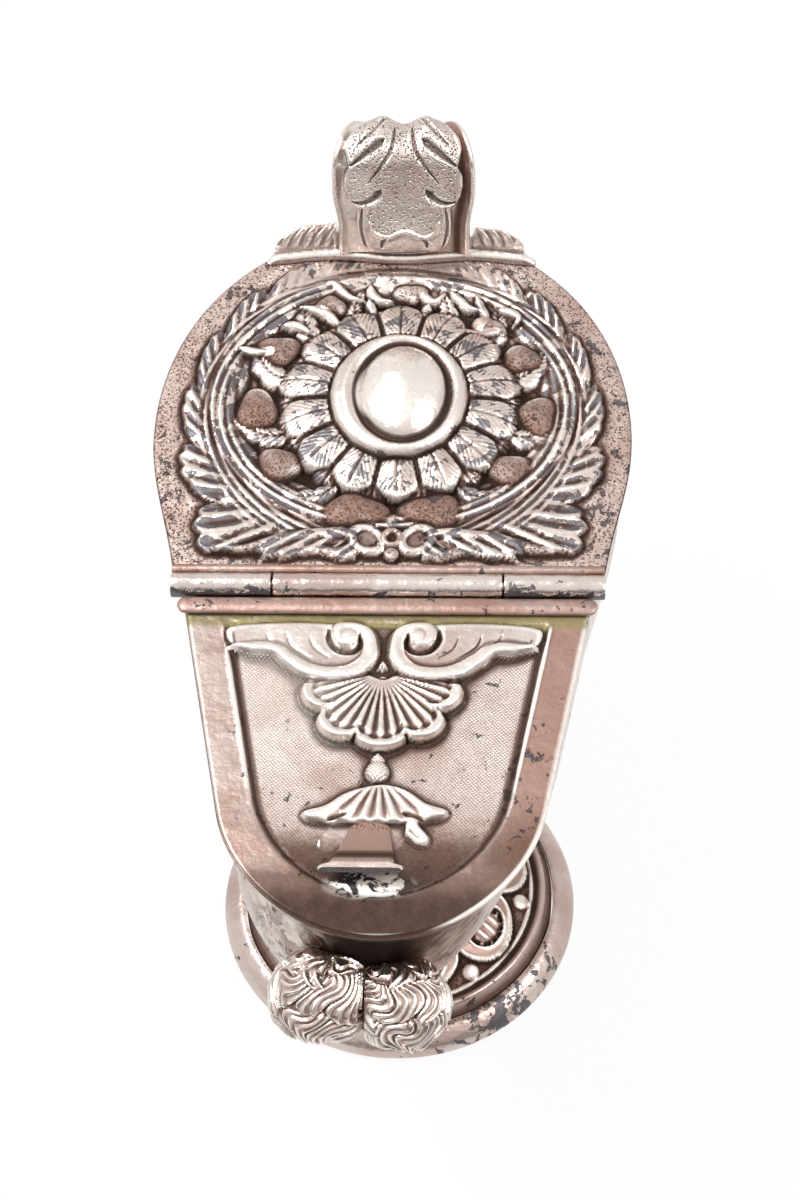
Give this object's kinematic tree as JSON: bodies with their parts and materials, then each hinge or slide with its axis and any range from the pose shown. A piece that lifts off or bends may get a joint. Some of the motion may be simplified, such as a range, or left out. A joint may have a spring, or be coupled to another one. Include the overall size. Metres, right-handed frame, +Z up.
{
  "type": "incense boat",
  "caption": "Boat-shaped incense bowl on a round foot, with a hinged lid over the prow, an embossed stern deck, a scroll handle and a figurehead.",
  "frame": {"origin": "on the surface that the boat stands on, under the middle of its overall length", "axes": "+Z up, +Y along the boat from the prow to the stern, +X to the right seen from the prow"},
  "size_m": [0.0896, 0.177, 0.1366],
  "materials": {
    "worn_silver": "worn, toned silver",
    "bright_silver": "rubbed bright silver",
    "dark_silver": "brown toned silver",
    "pin_metal": "dull steel"
  },
  "bodies": {
    "boat": {"base_ring": "worn_silver", "foot_dome": "worn_silver", "stem_shaft": "worn_silver", "stem_calyx": "worn_silver", "hull": "worn_silver", "hull_rim": "worn_silver", "stern_deck": "worn_silver", "stem_collar": "bright_silver", "stem_knop": "bright_silver", "hinge_knuckle_left": "bright_silver", "hinge_knuckle_right": "bright_silver", "handle_leaf": "bright_silver", "cherub_left": "bright_silver", "cherub_right": "bright_silver", "stern_bead": "dark_silver", "gadroon_base": "dark_silver", "handle_scroll": "dark_silver", "figurehead_bracket": "dark_silver", "stem_rod": "pin_metal", "rod_washer": "pin_metal", "rod_nut": "pin_metal", "hinge_pin": "pin_metal"},
    "lid": {"lid": "worn_silver", "lid_hinge_leaf": "dark_silver", "hinge_knuckle_centre": "bright_silver", "thumb_piece": "bright_silver"}
  },
  "joints": [
    {"name": "lid_hinge", "type": "hinge", "parent": "boat", "child": "lid", "pos_m": [0, -0.00343, 0.1054], "axis": [-1, 0, 0], "range_deg": [0, 110]}
  ]
}
